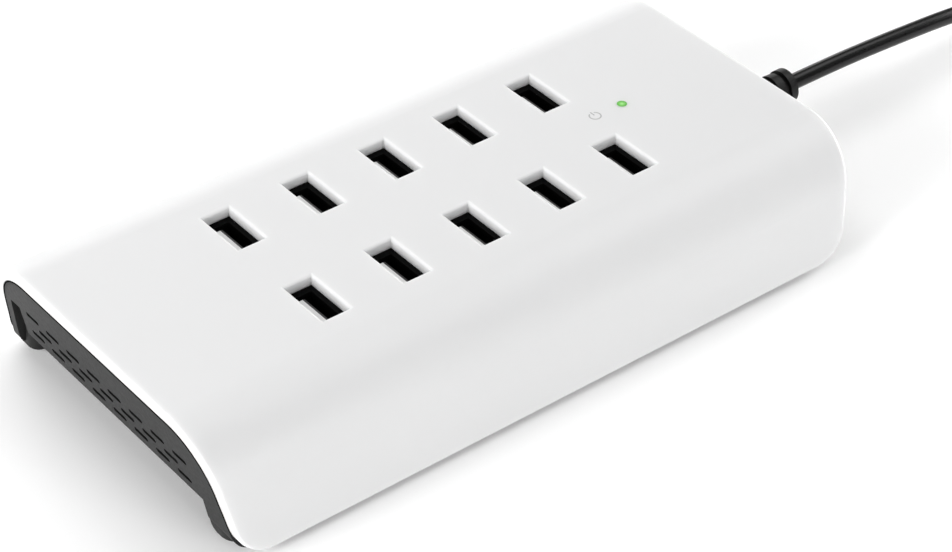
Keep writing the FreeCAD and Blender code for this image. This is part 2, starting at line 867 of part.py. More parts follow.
# Middle of the coil: its outermost turn is tangent to the lead's last run
def coil_centre():
    along = coil_direction()
    across = Vector(-along.y, along.x, 0.0)
    touch = Vector(*cord_route[-1]) + along * coil_lead_in
    middle = touch + across * outer_turn_radius()
    return Vector(middle.x, middle.y, 0.0)


def coil_ring():
    centre = coil_centre()
    ring = Part.makeCylinder(coil_middle_radius + coil_half_width(), coil_height(), centre)
    ring = ring.cut(Part.makeCylinder(coil_middle_radius - coil_half_width(), coil_height(), centre))
    return ring.makeFillet(coil_round, [edge for edge in ring.Edges if edge.Closed])


# Outer form of the tied coil, with a straight stub where the lead comes in and another where it goes out
def cord_coil():
    radius = cord_diameter / 2.0
    stub_in = Part.makeCylinder(radius, coil_lead_in, Vector(*cord_route[-1]), coil_direction())
    tail_start = Vector(coil_centre().x, tail_y(), tail_z())
    stub_out = Part.makeCylinder(radius, outer_turn_radius() + coil_tail, tail_start, Vector(-1, 0, 0))
    return fuse_all([coil_ring(), stub_in, stub_out])


# The tail leaves the far side of the coil's top layer towards -X
def tail_y():
    return coil_centre().y + outer_turn_radius()


def tail_z():
    return coil_turn_pitch * (coil_layers - 1) + cord_diameter / 2.0


def plug_start_x():
    return coil_centre().x - outer_turn_radius() - coil_tail


# Band over the coil's bundle of turns and down both sides
def cord_tie():
    centre = coil_centre()
    half = coil_half_width() + tie_thickness
    height = coil_height() + tie_thickness
    x0 = centre.x - coil_middle_radius
    y0 = centre.y - tie_width / 2.0
    return box(x0 - half, x0 + half, y0, y0 + tie_width, 0.0, height).cut(coil_ring())


# Two-blade mains plug: a rounded body with a round neck for the lead
def plug_body():
    x0 = plug_start_x()
    y = tail_y()
    z = tail_z()
    x1 = x0 - plug_neck_length
    neck = along_x(x1 - plug_round, x0, y, z, plug_neck_diameter)
    half_w = plug_width / 2.0
    half_h = plug_height / 2.0
    block = box(x1 - plug_length, x1, y - half_w, y + half_w, z - half_h, z + half_h)
    block = block.makeFillet(plug_round, block.Edges)
    return fuse_all([neck, block])


def plug_blades():
    x1 = plug_start_x() - plug_neck_length - plug_length
    half_t = blade_thickness / 2.0
    half_w = blade_width / 2.0
    z = tail_z()
    blades = []
    for s in (-1, 1):
        y = tail_y() + s * blade_spacing / 2.0
        blades.append(box(x1 - blade_length, x1, y - half_t, y + half_t, z - half_w, z + half_w))
    return Part.makeCompound(blades)


def build():
    os.makedirs("parts", exist_ok=True)
    save(top_cover(), "top_cover")
    save(base(), "base")
    save(end_cap_left(), "end_cap_left")
    save(end_cap_right(), "end_cap_right")
    for number, (x, y) in enumerate(port_places, 1):
        save(usb_shell(x, y), "usb_shell_%02d" % number)
        save(usb_tongue(x, y), "usb_tongue_%02d" % number)
        save(usb_contacts(x, y), "usb_contacts_%02d" % number)
    for number, (x, y) in enumerate(foot_places(), 1):
        save(rubber_foot(x, y), "rubber_foot_%d" % number)
    save(light_pipe(), "light_pipe")
    save(power_led(), "power_led")
    save(port_board(), "port_board")
    save(power_board(), "power_board")
    save(transformer_core(), "transformer_core")
    save(winding_form(), "transformer_winding")
    save(bulk_capacitors(), "bulk_capacitors")
    save(output_capacitors(), "output_capacitors")
    save(heat_sink(), "heat_sink")
    save(filter_choke(), "filter_choke")
    save(mains_fuse(), "mains_fuse")
    save(housing_screws(), "housing_screws")
    save(board_screws(), "board_screws")
    save(strain_relief(), "strain_relief")
    save(mains_leads(), "mains_leads")
    save(power_cord(), "power_cord")
    save(cord_coil(), "cord_coil")
    save(cord_tie(), "cord_tie")
    save(plug_body(), "plug_body")
    save(plug_blades(), "plug_blades")


build()
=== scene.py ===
import json
import math

import bpy
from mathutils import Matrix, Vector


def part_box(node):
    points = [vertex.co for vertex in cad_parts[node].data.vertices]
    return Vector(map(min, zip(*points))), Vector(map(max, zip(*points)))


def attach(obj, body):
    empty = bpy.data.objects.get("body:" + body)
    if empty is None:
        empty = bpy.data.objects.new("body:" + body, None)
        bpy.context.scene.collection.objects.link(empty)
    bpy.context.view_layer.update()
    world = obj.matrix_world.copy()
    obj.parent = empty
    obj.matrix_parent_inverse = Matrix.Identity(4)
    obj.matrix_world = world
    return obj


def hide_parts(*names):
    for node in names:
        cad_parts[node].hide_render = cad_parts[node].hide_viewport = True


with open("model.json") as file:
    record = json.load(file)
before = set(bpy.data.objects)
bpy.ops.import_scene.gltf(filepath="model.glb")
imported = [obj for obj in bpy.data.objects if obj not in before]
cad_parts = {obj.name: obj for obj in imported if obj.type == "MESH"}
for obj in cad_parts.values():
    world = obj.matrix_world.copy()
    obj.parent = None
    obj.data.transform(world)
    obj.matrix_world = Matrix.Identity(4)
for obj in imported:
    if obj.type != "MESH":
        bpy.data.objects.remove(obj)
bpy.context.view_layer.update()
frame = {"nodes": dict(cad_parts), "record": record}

# Ten-port desktop charging station: finishes, mains lead, light and camera. Metres, +Z up.

nodes = frame["nodes"]
slot_of_node = {row["node"]: row["material_slot"] for row in frame["record"]["subparts"]}

# Housing places that the finishes follow
top_z = 0.036
half_flat = 0.0329
shoulder_z = 0.017
side_flare = math.radians(11.4)
cover_inner_radius = 0.0158
cap_radius = 0.0153
cap_inner_x = 0.092
cap_rim_shade_width = 0.0009
end_gap_shade_overlap = 0.0001
port_pitch = 0.025
tongue_shade_x = -0.0006
lamp_x = 0.065
lamp_radius = 0.0014
fuse_body_half = 0.0036
fuse_cap_fade = 0.0001

# Mark printed beside the lamp: a ring with an upright bar
mark_x = 0.0555
mark_radius = 0.0016
mark_line = 0.00042
mark_gap = 0.0007
mark_bar_middle = 0.0012
mark_bar_half = 0.00088
mark_depth = 0.0002

# Mains lead: route from the strain relief to the floor, then the tied coil and the tail to the plug
lead_diameter = 0.0047
lead_route = (
    (0.1277, 0.0000, 0.01620),
    (0.1430, 0.0000, 0.01620),
    (0.1580, 0.0000, 0.01580),
    (0.1740, 0.0000, 0.01495),
    (0.1900, 0.0000, 0.01390),
    (0.2060, 0.0006, 0.01160),
    (0.2200, 0.0022, 0.00760),
    (0.2340, 0.0050, 0.00360),
    (0.2470, 0.0082, 0.00235),
    (0.2580, 0.0110, 0.00235),
)
coil_lead_in = 0.030
coil_middle_radius = 0.028
coil_pitch = 0.00485
coil_turns = 3.5
coil_points_per_turn = 18
coil_climb_turns = 0.5
coil_climb_dip = 0.0008
lead_low_z = 0.00235
tail_start_turn = 0.25
tail_length = 0.0585
tail_first_share = 0.35
tail_second_share = 0.7
tail_sag = 0.0005
plug_overlap = 0.002
lead_ring_detail = 6
lead_run_detail = 8

# Leaning ends of the housing and their round lower corners
half_length = 0.1045
end_lean = math.radians(10.2)
end_corner_radius = 0.010
end_corner_top_z = 0.00983

# Near-black strip in the gap between the cover and each end cap: painted shade for the shadow in that
# gap
shade_strip_radius = 0.01555
shade_strip_thickness = 0.0005
shade_strip_ring_points = 12
shade_strip_set_in = 0.0001
shade_strip_low_angle = math.radians(45.0)
shade_strip_arc_steps = 12
shade_strip_corner_steps = 5

# Finish of the modelled end pieces
merge_distance = 0.00001
smooth_angle = math.radians(40.0)

# Upright end of each rear rail, behind the notch of the end cap
rail_end_front_x = 0.0973
rail_end_back_x = 0.0925
rail_end_inner_y = 0.0436
rail_end_outer_y = 0.0512
rail_end_top_outer_y = 0.0466
rail_end_low_z = 0.0017
rail_end_high_z = 0.0214
rail_end_inner_round = 0.0035
rail_end_inner_segments = 8
rail_end_edge_round = 0.0006
rail_end_edge_segments = 3

# Round toe at the foot of each front leg, which the lower corner of the end cap leaves open
toe_front_x = 0.0982
toe_top_front_x = 0.0992
toe_back_x = 0.0925
toe_inner_y = 0.0405
toe_outer_y = 0.0495
toe_low_z = 0.0017
toe_high_z = 0.0075
toe_plan_round = 0.0055
toe_plan_segments = 10
toe_inner_round = 0.0025
toe_inner_segments = 8
toe_edge_round = 0.0005
toe_edge_segments = 2

# Camera of the photograph
camera_place = (-0.3607, -0.4793, 0.4704)
camera_turn_deg = (52.35, 0.0, -38.06)
camera_lens = 107.3
camera_sensor = 36.0
camera_clip = 0.01

# Softboxes round the table, each aimed at the middle of the housing: place and power
softbox_size = 0.9
world_strength = 0.1
floor_size = 6.0
floor_glow = 0.055
softboxes = (
    ("left_softbox", (-1.3, 0.0, 0.45), 19.4),
    ("rear_softbox", (0.0, 1.3, 0.45), 3.6),
    ("right_softbox", (1.3, 0.0, 0.2), 16.0),
    ("front_softbox", (0.0, -1.3, 0.27), 9.6),
    ("corner_softbox", (0.65, 1.1, 0.32), 3.6),
    ("high_rear_softbox", (0.0, 0.7, 1.1), 5.9),
    ("high_right_softbox", (0.7, 0.0, 1.1), 3.8),
)


def grey(value):
    return (value, value, value, 1.0)


# A number that a finish's nodes work out: Python's operators add Math nodes
class Value:
    def __init__(self, finish, socket):
        self.finish = finish
        self.socket = socket

    def maths(self, operation, *terms):
        return self.finish.node("ShaderNodeMath", {"operation": operation}, dict(enumerate(terms)))

    def __add__(self, other):
        return self.maths("ADD", self, other)

    def __sub__(self, other):
        return self.maths("SUBTRACT", self, other)

    def __rsub__(self, other):
        return self.maths("SUBTRACT", other, self)

    def __mul__(self, other):
        return self.maths("MULTIPLY", self, other)

    def __pow__(self, other):
        return self.maths("POWER", self, other)

    def __lt__(self, other):
        return self.maths("LESS_THAN", self, other)

    def __gt__(self, other):
        return self.maths("GREATER_THAN", self, other)

    def __abs__(self):
        return self.maths("ABSOLUTE", self)

    def larger(self, other):
        return self.maths("MAXIMUM", self, other)

    def sine(self):
        return self.maths("SINE", self)

    # Place within a pattern that repeats at a pitch, from minus to plus half of it
    def repeated(self, pitch):
        return self.maths("WRAP", self, pitch / 2.0, -pitch / 2.0)

    __radd__ = __add__
    __rmul__ = __mul__


# A material under construction, with one Principled shader
class Finish:
    def __init__(self, name):
        self.material = bpy.data.materials.new(name)
        self.material.use_nodes = True
        self.nodes = self.material.node_tree.nodes
        self.links = self.material.node_tree.links
        self.shader = self.nodes["Principled BSDF"]

    # Adds a node: its settings are set first, then the values or links of its sockets
    def node(self, kind, settings, sockets, output=0):
        made = self.nodes.new(kind)
        for name, setting in settings.items():
            if name == "stops":
                self.set_stops(made.color_ramp, setting)
            else:
                setattr(made, name, setting)
        for name, value in sockets.items():
            self.put(made.inputs[name], value)
        return Value(self, made.outputs[output])

    def set_stops(self, ramp, stops):
        while len(ramp.elements) < len(stops):
            ramp.elements.new(1.0)
        for element, (position, colour) in zip(ramp.elements, stops):
            element.position = position
            element.color = colour

    def put(self, socket, value):
        if isinstance(value, Value):
            self.links.new(value.socket, socket)
        else:
            socket.default_value = value

    # Sets or links sockets of the shader
    def set(self, **sockets):
        for name, value in sockets.items():
            self.put(self.shader.inputs[name.replace("_", " ")], value)

    def place(self):
        return self.node("ShaderNodeTexCoord", {}, {}, "Object")

    def vector_maths(self, operation, first, second):
        return self.node("ShaderNodeVectorMath", {"operation": operation}, {0: first, 1: second})

    # Object coordinates moved to a centre and stretched along the axes
    def mapped(self, centre=(0.0, 0.0, 0.0), stretch=(1.0, 1.0, 1.0)):
        moved = self.vector_maths("SUBTRACT", self.place(), centre)
        return self.vector_maths("MULTIPLY", moved, stretch)

    def axes(self, centre=(0.0, 0.0, 0.0)):
        vector = self.mapped(centre)
        return [self.node("ShaderNodeSeparateXYZ", {}, {0: vector}, axis) for axis in ("X", "Y", "Z")]

    def noise(self, scale, detail=2.0, roughness=0.5, stretch=(1.0, 1.0, 1.0)):
        sockets = {
            "Vector": self.mapped(stretch=stretch),
            "Scale": scale,
            "Detail": detail,
            "Roughness": roughness,
        }
        return self.node("ShaderNodeTexNoise", {}, sockets, "Fac")

    def cells(self, scale):
        sockets = {"Vector": self.mapped(), "Scale": scale}
        return self.node("ShaderNodeTexVoronoi", {"feature": "F1"}, sockets, "Distance")

    # Smooth step from 0 at low to 1 at high
    def step(self, value, low, high):
        settings = {"interpolation_type": "SMOOTHSTEP"}
        sockets = {"Value": value, "From Min": low, "From Max": high}
        return self.node("ShaderNodeMapRange", settings, sockets)

    def mix(self, factor, first, second):
        return self.node("ShaderNodeMix", {"data_type": "RGBA"}, {0: factor, 6: first, 7: second}, 2)

    def bump(self, height, strength, distance):
        sockets = {"Height": height, "Strength": strength, "Distance": distance}
        self.set(Normal=self.node("ShaderNodeBump", {}, sockets, "Normal"))


# How far a point lies from the core of the housing's section: the shoulder radius on the outer face
def section_radius(finish):
    across, along, height = finish.axes((0.0, 0.0, shoulder_z))
    beside = (abs(along) - half_flat).larger(0.0)
    outward = beside * math.cos(side_flare) + height * math.sin(side_flare)
    upward = (height * math.cos(side_flare) - beside * math.sin(side_flare)).larger(0.0)
    return across, (outward * outward + upward * upward) ** 0.5


# Ink mask of the mark beside the lamp: an open ring and its bar
def power_mark(finish):
    across, along, height = finish.axes((mark_x, 0.0, top_z))
    distance = (across * across + along * along) ** 0.5
    ring = abs(distance - mark_radius) < mark_line / 2.0
    mouth = (abs(across) < mark_gap) * (along > 0.0)
    bar = (abs(across) < mark_line / 2.0) * (abs(along - mark_bar_middle) < mark_bar_half)
    on_top = height > -mark_depth
    return (ring * (1.0 - mouth)).larger(bar) * on_top


def satin_white():
    finish = Finish("satin_white")
    drift = finish.noise(scale=16.0, detail=2.0)
    grain = finish.noise(scale=2400.0, detail=2.0, roughness=0.6)
    shade = finish.mix(drift, (0.700, 0.701, 0.703, 1.0), (0.716, 0.717, 0.719, 1.0))
    across, radius = section_radius(finish)
    # Painted shade: the cover's inner faces next to each end cap are painted near-black, for the shade
    # in the gap between cover and cap
    end_gap_shade = (abs(across) > cap_inner_x) * (radius < cover_inner_radius + end_gap_shade_overlap)
    plastic_and_gap_shade = finish.mix(end_gap_shade, shade, grey(0.02))
    finish.set(
        Base_Color=finish.mix(power_mark(finish), plastic_and_gap_shade, grey(0.42)),
        Roughness=0.37 + grain * 0.08,
        Subsurface_Weight=0.8,
        Subsurface_Radius=(1.0, 1.0, 1.0),
        Subsurface_Scale=0.003,
    )
    finish.bump(grain, strength=0.08, distance=0.00004)
    return finish


# Grey moulding with the fine pits of a spark-eroded mould
def textured_grey(name, low, high):
    finish = Finish(name)
    radius = section_radius(finish)[1]
    # Painted shade: the rim of the moulding next to the cover is painted near-black, for the shadow
    # line in the gap between cap and cover
    edge = finish.step(radius, cap_radius - cap_rim_shade_width, cap_radius - cap_rim_shade_width / 2.0)
    pits = finish.cells(scale=1500.0)
    grain = finish.noise(scale=900.0, detail=3.0, roughness=0.6)
    drift = finish.noise(scale=30.0, detail=2.0)
    tone = grain * 0.7 + drift * 0.3
    finish.set(
        Base_Color=finish.mix(edge, finish.mix(tone, low, high), grey(0.002)),
        Roughness=0.48 + grain * 0.18,
        Specular_IOR_Level=0.3,
    )
    finish.bump(pits * 0.6 + grain * 0.4, strength=0.28, distance=0.00012)
    return finish


# Black plated sheet with faint drawing lines down the can
def black_plating():
    finish = Finish("black_plating")
    lines = finish.noise(scale=1400.0, detail=2.0, roughness=0.5, stretch=(1.0, 1.0, 0.06))
    finish.set(
        Base_Color=finish.mix(lines, grey(0.001), grey(0.003)),
        Roughness=0.50 + lines * 0.2,
        Specular_IOR_Level=0.03,
    )
    finish.bump(lines, strength=0.05, distance=0.00005)
    return finish


# White tongue, with painted shade: its side towards +X is painted near-black
def moulded_white():
    finish = Finish("moulded_white")
    across = finish.axes()[0]
    grain = finish.noise(scale=1800.0, detail=3.0)
    drift = finish.noise(scale=220.0, detail=2.0)
    white = finish.mix(drift, (0.84, 0.84, 0.825, 1.0), (0.90, 0.90, 0.89, 1.0))
    # Painted shade over the tongue's +X side, which narrows its lit strip
    painted_shade_side = across.repeated(port_pitch) > tongue_shade_x
    finish.set(
        Base_Color=finish.mix(painted_shade_side, white, grey(0.004)),
        Roughness=0.34 + grain * 0.14,
    )
    finish.bump(grain, strength=0.08, distance=0.00004)
    return finish


def gold_plate():
    finish = Finish("gold_plate")
    wipe = finish.noise(scale=1600.0, detail=2.0, roughness=0.5, stretch=(1.0, 1.0, 0.12))
    finish.set(
        Base_Color=finish.mix(wipe, (0.78, 0.53, 0.18, 1.0), (0.90, 0.70, 0.32, 1.0)),
        Metallic=1.0,
        Roughness=0.18 + wipe * 0.2,
    )
    return finish


# Clear green rod, lit from below: brightest in the middle
def clear_green():
    finish = Finish("clear_green")
    across, along = finish.axes((lamp_x, 0.0, top_z))[:2]
    distance = (across * across + along * along) ** 0.5
    cloud = finish.noise(scale=900.0, detail=2.0)
    edge = finish.step(distance + (cloud - 0.5) * 0.0004, 0.0, lamp_radius)
    stops = (
        (0.0, (0.52, 0.88, 0.38, 1.0)),
        (0.45, (0.26, 0.66, 0.16, 1.0)),
        (1.0, (0.12, 0.40, 0.06, 1.0)),
    )
    glow = finish.node("ShaderNodeValToRGB", {"stops": stops}, {"Fac": edge}, "Color")
    finish.set(
        Base_Color=(0.05, 0.20, 0.03, 1.0),
        Roughness=0.22 + cloud * 0.1,
        Emission_Color=glow,
        Emission_Strength=0.66,
    )
    return finish


def green_lamp():
    finish = Finish("green_lamp")
    cloud = finish.noise(scale=1200.0, detail=2.0)
    finish.set(
        Base_Color=finish.mix(cloud, (0.20, 0.60, 0.12, 1.0), (0.35, 0.80, 0.22, 1.0)),
        Roughness=0.2,
        Emission_Color=(0.25, 0.85, 0.15, 1.0),
        Emission_Strength=0.6,
    )
    return finish


# Green solder mask with copper tracks under it, and a bare laminate edge
def solder_mask():
    finish = Finish("solder_mask")
    lane_rate = 1800.0
    run_rate = 310.0
    across, along = finish.axes()[:2]
    bend = finish.noise(scale=160.0, detail=1.0) * 0.004
    lanes = ((along + bend) * lane_rate).sine()
    runs = ((across + bend) * run_rate).sine()
    track = finish.step(lanes, 0.35, 0.55) * finish.step(runs, -0.3, 0.0)
    mottle = finish.noise(scale=420.0, detail=3.0)
    mask = finish.mix(track, (0.008, 0.085, 0.028, 1.0), (0.020, 0.170, 0.055, 1.0))
    finish.set(
        Base_Color=finish.mix(mottle * 0.35, mask, (0.012, 0.12, 0.045, 1.0)),
        Roughness=0.30 + mottle * 0.16,
    )
    finish.bump(track + mottle * 0.15, strength=0.2, distance=0.00005)
    return finish


def sintered_ferrite():
    finish = Finish("sintered_ferrite")
    specks = finish.cells(scale=1100.0)
    grain = finish.noise(scale=600.0, detail=4.0, roughness=0.65)
    finish.set(
        Base_Color=finish.mix(specks, grey(0.022), grey(0.075)),
        Roughness=0.55 + grain * 0.25,
    )
    finish.bump(grain, strength=0.25, distance=0.0001)
    return finish


# Enamelled copper laid in close turns
def enamelled_copper():
    finish = Finish("enamelled_copper")
    turn_rate = 7200.0
    lay_rate = 900.0
    along, height = finish.axes()[1:]
    turns = (along * turn_rate + height * lay_rate).sine() * 0.5 + 0.5
    drift = finish.noise(scale=90.0, detail=2.0)
    finish.set(
        Base_Color=finish.mix(turns, (0.16, 0.045, 0.012, 1.0), (0.56, 0.21, 0.07, 1.0)),
        Metallic=0.85,
        Roughness=0.24 + drift * 0.18,
        Coat_Weight=0.4,
    )
    finish.bump(turns, strength=0.5, distance=0.0002)
    return finish


# Printed sleeve with a pale stripe along each can
def capacitor_sleeve():
    finish = Finish("capacitor_sleeve")
    stripe_rate = 900.0
    across = finish.axes()[0]
    stripe = finish.step((abs(across) * stripe_rate).sine(), 0.92, 0.96)
    shrink = finish.noise(scale=260.0, detail=3.0, roughness=0.5, stretch=(0.3, 1.0, 1.0))
    sleeve = finish.mix(shrink, (0.008, 0.009, 0.014, 1.0), (0.022, 0.024, 0.032, 1.0))
    finish.set(
        Base_Color=finish.mix(stripe, sleeve, (0.38, 0.39, 0.42, 1.0)),
        Roughness=0.26 + shrink * 0.16,
    )
    finish.bump(shrink, strength=0.12, distance=0.0001)
    return finish


def extruded_aluminium():
    finish = Finish("extruded_aluminium")
    lines = finish.noise(scale=900.0, detail=3.0, roughness=0.6, stretch=(1.0, 1.0, 0.02))
    finish.set(
        Base_Color=finish.mix(lines, grey(0.52), grey(0.68)),
        Metallic=1.0,
        Roughness=0.3 + lines * 0.2,
    )
    finish.bump(lines, strength=0.15, distance=0.00008)
    return finish


# Ceramic-sleeved cartridge with metal end caps
def cartridge_fuse():
    finish = Finish("cartridge_fuse")
    low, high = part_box("mains_fuse")
    across = finish.axes(tuple((low + high) / 2.0))[0]
    cap = finish.step(abs(across), fuse_body_half, fuse_body_half + fuse_cap_fade)
    grain = finish.noise(scale=700.0, detail=3.0)
    body = finish.mix(grain, (0.62, 0.60, 0.54, 1.0), (0.74, 0.72, 0.66, 1.0))
    finish.set(
        Base_Color=finish.mix(cap, body, grey(0.62)),
        Metallic=cap,
        Roughness=0.3 + grain * 0.15,
    )
    return finish


def zinc_plate():
    finish = Finish("zinc_plate")
    patches = finish.cells(scale=900.0)
    wipe = finish.noise(scale=1500.0, detail=2.0)
    finish.set(
        Base_Color=finish.mix(patches, (0.48, 0.49, 0.50, 1.0), (0.66, 0.66, 0.67, 1.0)),
        Metallic=1.0,
        Roughness=0.26 + wipe * 0.22,
    )
    finish.bump(wipe, strength=0.06, distance=0.00005)
    return finish


# Soft black rubber with a dusty bloom
def soft_rubber(name, shade, bloom, roughness, gloss):
    finish = Finish(name)
    dust = finish.noise(scale=140.0, detail=4.0, roughness=0.6)
    grain = finish.noise(scale=1300.0, detail=2.0)
    finish.set(
        Base_Color=finish.mix(dust, grey(shade), grey(bloom)),
        Roughness=roughness + grain * 0.14,
        Specular_IOR_Level=gloss,
    )
    finish.bump(grain, strength=0.12, distance=0.00008)
    return finish


# Round PVC jacket: satin, with the faint lengthwise unevenness of the extruder
def lead_jacket():
    finish = Finish("lead_jacket")
    wave = finish.noise(scale=70.0, detail=2.0)
    grain = finish.noise(scale=1700.0, detail=2.0)
    finish.set(
        Base_Color=finish.mix(wave, grey(0.0015), grey(0.003)),
        Roughness=0.24 + grain * 0.1,
        Specular_IOR_Level=0.35,
    )
    finish.bump(grain, strength=0.06, distance=0.00006)
    return finish


def tie_strap():
    finish = Finish("tie_strap")
    rib_rate = 5200.0
    across = finish.axes()[0]
    ribs = (across * rib_rate).sine() * 0.5 + 0.5
    grain = finish.noise(scale=900.0, detail=2.0)
    finish.set(
        Base_Color=finish.mix(grain, grey(0.014), grey(0.026)),
        Roughness=0.42 + grain * 0.16,
    )
    finish.bump(ribs, strength=0.4, distance=0.0002)
    return finish


def nickel_plate():
    finish = Finish("nickel_plate")
    lines = finish.noise(scale=1300.0, detail=2.0, roughness=0.5, stretch=(0.08, 1.0, 1.0))
    finish.set(
        Base_Color=finish.mix(lines, (0.60, 0.57, 0.51, 1.0), (0.76, 0.74, 0.68, 1.0)),
        Metallic=1.0,
        Roughness=0.2 + lines * 0.2,
    )
    finish.bump(lines, strength=0.08, distance=0.00005)
    return finish


# Finishes by the record's material slots
def make_finishes():
    return {
        "cover": satin_white(),
        "base": textured_grey("textured_grey_base", grey(0.008), grey(0.012)),
        "end_cap": textured_grey("textured_grey_cap", grey(0.012), grey(0.017)),
        "socket_can": black_plating(),
        "socket_tongue": moulded_white(),
        "contact": gold_plate(),
        "light_pipe": clear_green(),
        "lamp": green_lamp(),
        "circuit_board": solder_mask(),
        "ferrite": sintered_ferrite(),
        "winding": enamelled_copper(),
        "capacitor": capacitor_sleeve(),
        "heat_sink": extruded_aluminium(),
        "fuse": cartridge_fuse(),
        "screw": zinc_plate(),
        "foot": soft_rubber("foot_rubber", shade=0.020, bloom=0.034, roughness=0.62, gloss=0.4),
        "strain_relief": soft_rubber(
            "relief_rubber", shade=0.006, bloom=0.010, roughness=0.36, gloss=0.25,
        ),
        "cord": lead_jacket(),
        "tie": tie_strap(),
        "plug": soft_rubber("plug_rubber", shade=0.007, bloom=0.012, roughness=0.38, gloss=0.3),
        "blade": nickel_plate(),
    }


def dress_nodes(finishes):
    for name, piece in nodes.items():
        piece.data.materials.clear()
        piece.data.materials.append(finishes[slot_of_node[name]].material)


# Centre of the coil, radius of its outermost turn and the angle at which the lead touches that turn
def coil_start():
    before, last = lead_route[-2:]
    run = (last[0] - before[0], last[1] - before[1])
    length = math.hypot(*run)
    along = (run[0] / length, run[1] / length)
    radius = coil_middle_radius + coil_pitch * coil_turns / 2.0
    centre_x = last[0] + along[0] * coil_lead_in - along[1] * radius
    centre_y = last[1] + along[1] * coil_lead_in + along[0] * radius
    return centre_x, centre_y, radius, math.atan2(-along[0], along[1])


# Control points of the coil: inwards on the floor, up at the inside, outwards on top
def coil_points():
    centre_x, centre_y, outer, first_angle = coil_start()
    inner = outer - coil_pitch * coil_turns
    last_turns = 2.0 * coil_turns + coil_climb_turns
    end_turn = (first_angle / (2.0 * math.pi) + last_turns) % 1.0
    exact_turns = last_turns - (end_turn - tail_start_turn)
    layer_turns = (exact_turns - coil_climb_turns) / 2.0
    swell = 1.0 / math.cos(math.pi / coil_points_per_turn)
    count = round(exact_turns * coil_points_per_turn)
    points = []
    for i in range(1, count):
        turns = exact_turns * i / count
        inward = min(turns / layer_turns, 1.0)
        climb = min(max(turns - layer_turns, 0.0) / coil_climb_turns, 1.0)
        outward = max(turns - layer_turns - coil_climb_turns, 0.0) / layer_turns
        radius = outer + (inner - outer) * (inward - outward)
        radius -= coil_climb_dip * math.sin(math.pi * climb)
        angle = first_angle + 2.0 * math.pi * turns
        x = centre_x + radius * swell * math.cos(angle)
        y = centre_y + radius * swell * math.sin(angle)
        points.append((x, y, lead_low_z + coil_pitch * climb))
    return points


# Straight tail from the top of the coil into the neck of the plug
def tail_points():
    centre_x, centre_y, outer = coil_start()[:3]
    y = centre_y + outer
    z = lead_low_z + coil_pitch
    return [
        (centre_x, y, z),
        (centre_x - tail_length * tail_first_share, y, z),
        (centre_x - tail_length * tail_second_share, y, z - tail_sag),
        (centre_x - tail_length - plug_overlap, y, z),
    ]


def make_lead(finish):
    curve = bpy.data.curves.new("mains_lead", "CURVE")
    curve.dimensions = "3D"
    curve.bevel_depth = lead_diameter / 2.0
    curve.bevel_resolution = lead_ring_detail
    curve.use_fill_caps = True
    points = list(lead_route) + coil_points() + tail_points()
    spline = curve.splines.new("NURBS")
    spline.points.add(len(points) - 1)
    for point, place in zip(spline.points, points):
        point.co = (*place, 1.0)
    spline.order_u = 3
    spline.use_endpoint_u = True
    spline.resolution_u = lead_run_detail
    lead = bpy.data.objects.new("mains_lead", curve)
    bpy.context.collection.objects.link(lead)
    curve.materials.append(finish.material)
    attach(lead, "root")
    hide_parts("power_cord", "cord_coil")


def pick_vertices(piece, test):
    bpy.ops.object.mode_set(mode="EDIT")
    bpy.ops.mesh.select_all(action="DESELECT")
    bpy.ops.object.mode_set(mode="OBJECT")
    for vertex in piece.data.vertices:
        vertex.select = test(vertex.co)
    bpy.ops.object.mode_set(mode="EDIT")


# Ends a piece's modelling: doubles merged, faces outwards, smooth across low angles
def close_piece(piece, finish):
    bpy.ops.mesh.select_all(action="SELECT")
    bpy.ops.mesh.remove_doubles(threshold=merge_distance)
    bpy.ops.mesh.normals_make_consistent(inside=False)
    bpy.ops.object.mode_set(mode="OBJECT")
    bpy.ops.object.shade_smooth_by_angle(angle=smooth_angle)
    piece.data.materials.append(finish.material)


# Copy of a piece for the other end of the housing
def mirrored_copy(piece, name):
    bpy.ops.object.select_all(action="DESELECT")
    piece.select_set(True)
    bpy.context.view_layer.objects.active = piece
    bpy.ops.object.duplicate()
    copy = bpy.context.object
    copy.name = name
    bpy.ops.object.mode_set(mode="EDIT")
    bpy.ops.mesh.select_all(action="SELECT")
    bpy.ops.transform.resize(value=(-1.0, 1.0, 1.0), center_override=(0.0, 0.0, 0.0))
    bpy.ops.mesh.normals_make_consistent(inside=False)
    bpy.ops.object.mode_set(mode="OBJECT")
    return copy


def join_housing(piece):
    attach(piece, "root")


def sweep(step):
    bpy.ops.mesh.extrude_edges_move(TRANSFORM_OT_translate={"value": step})


# Carries the shade strip's picked ring round a shoulder
def sweep_shoulder(middle_y):
    bpy.ops.mesh.spin(
        steps=shade_strip_arc_steps, angle=math.pi / 2.0 - side_flare,
        center=(0.0, middle_y, shoulder_z), axis=(1.0, 0.0, 0.0),
    )


# Carries the shade strip's picked ring down the lower corner of the left end
def sweep_corner(side):
    turn = (shade_strip_low_angle - end_lean) / shade_strip_corner_steps
    for i in range(shade_strip_corner_steps):
        start = end_lean + turn * i
        drop = end_corner_radius * (math.sin(start + turn) - math.sin(start))
        inward = end_corner_radius * (math.cos(start) - math.cos(start + turn))
        sweep((inward, side * drop * math.tan(side_flare), -drop))
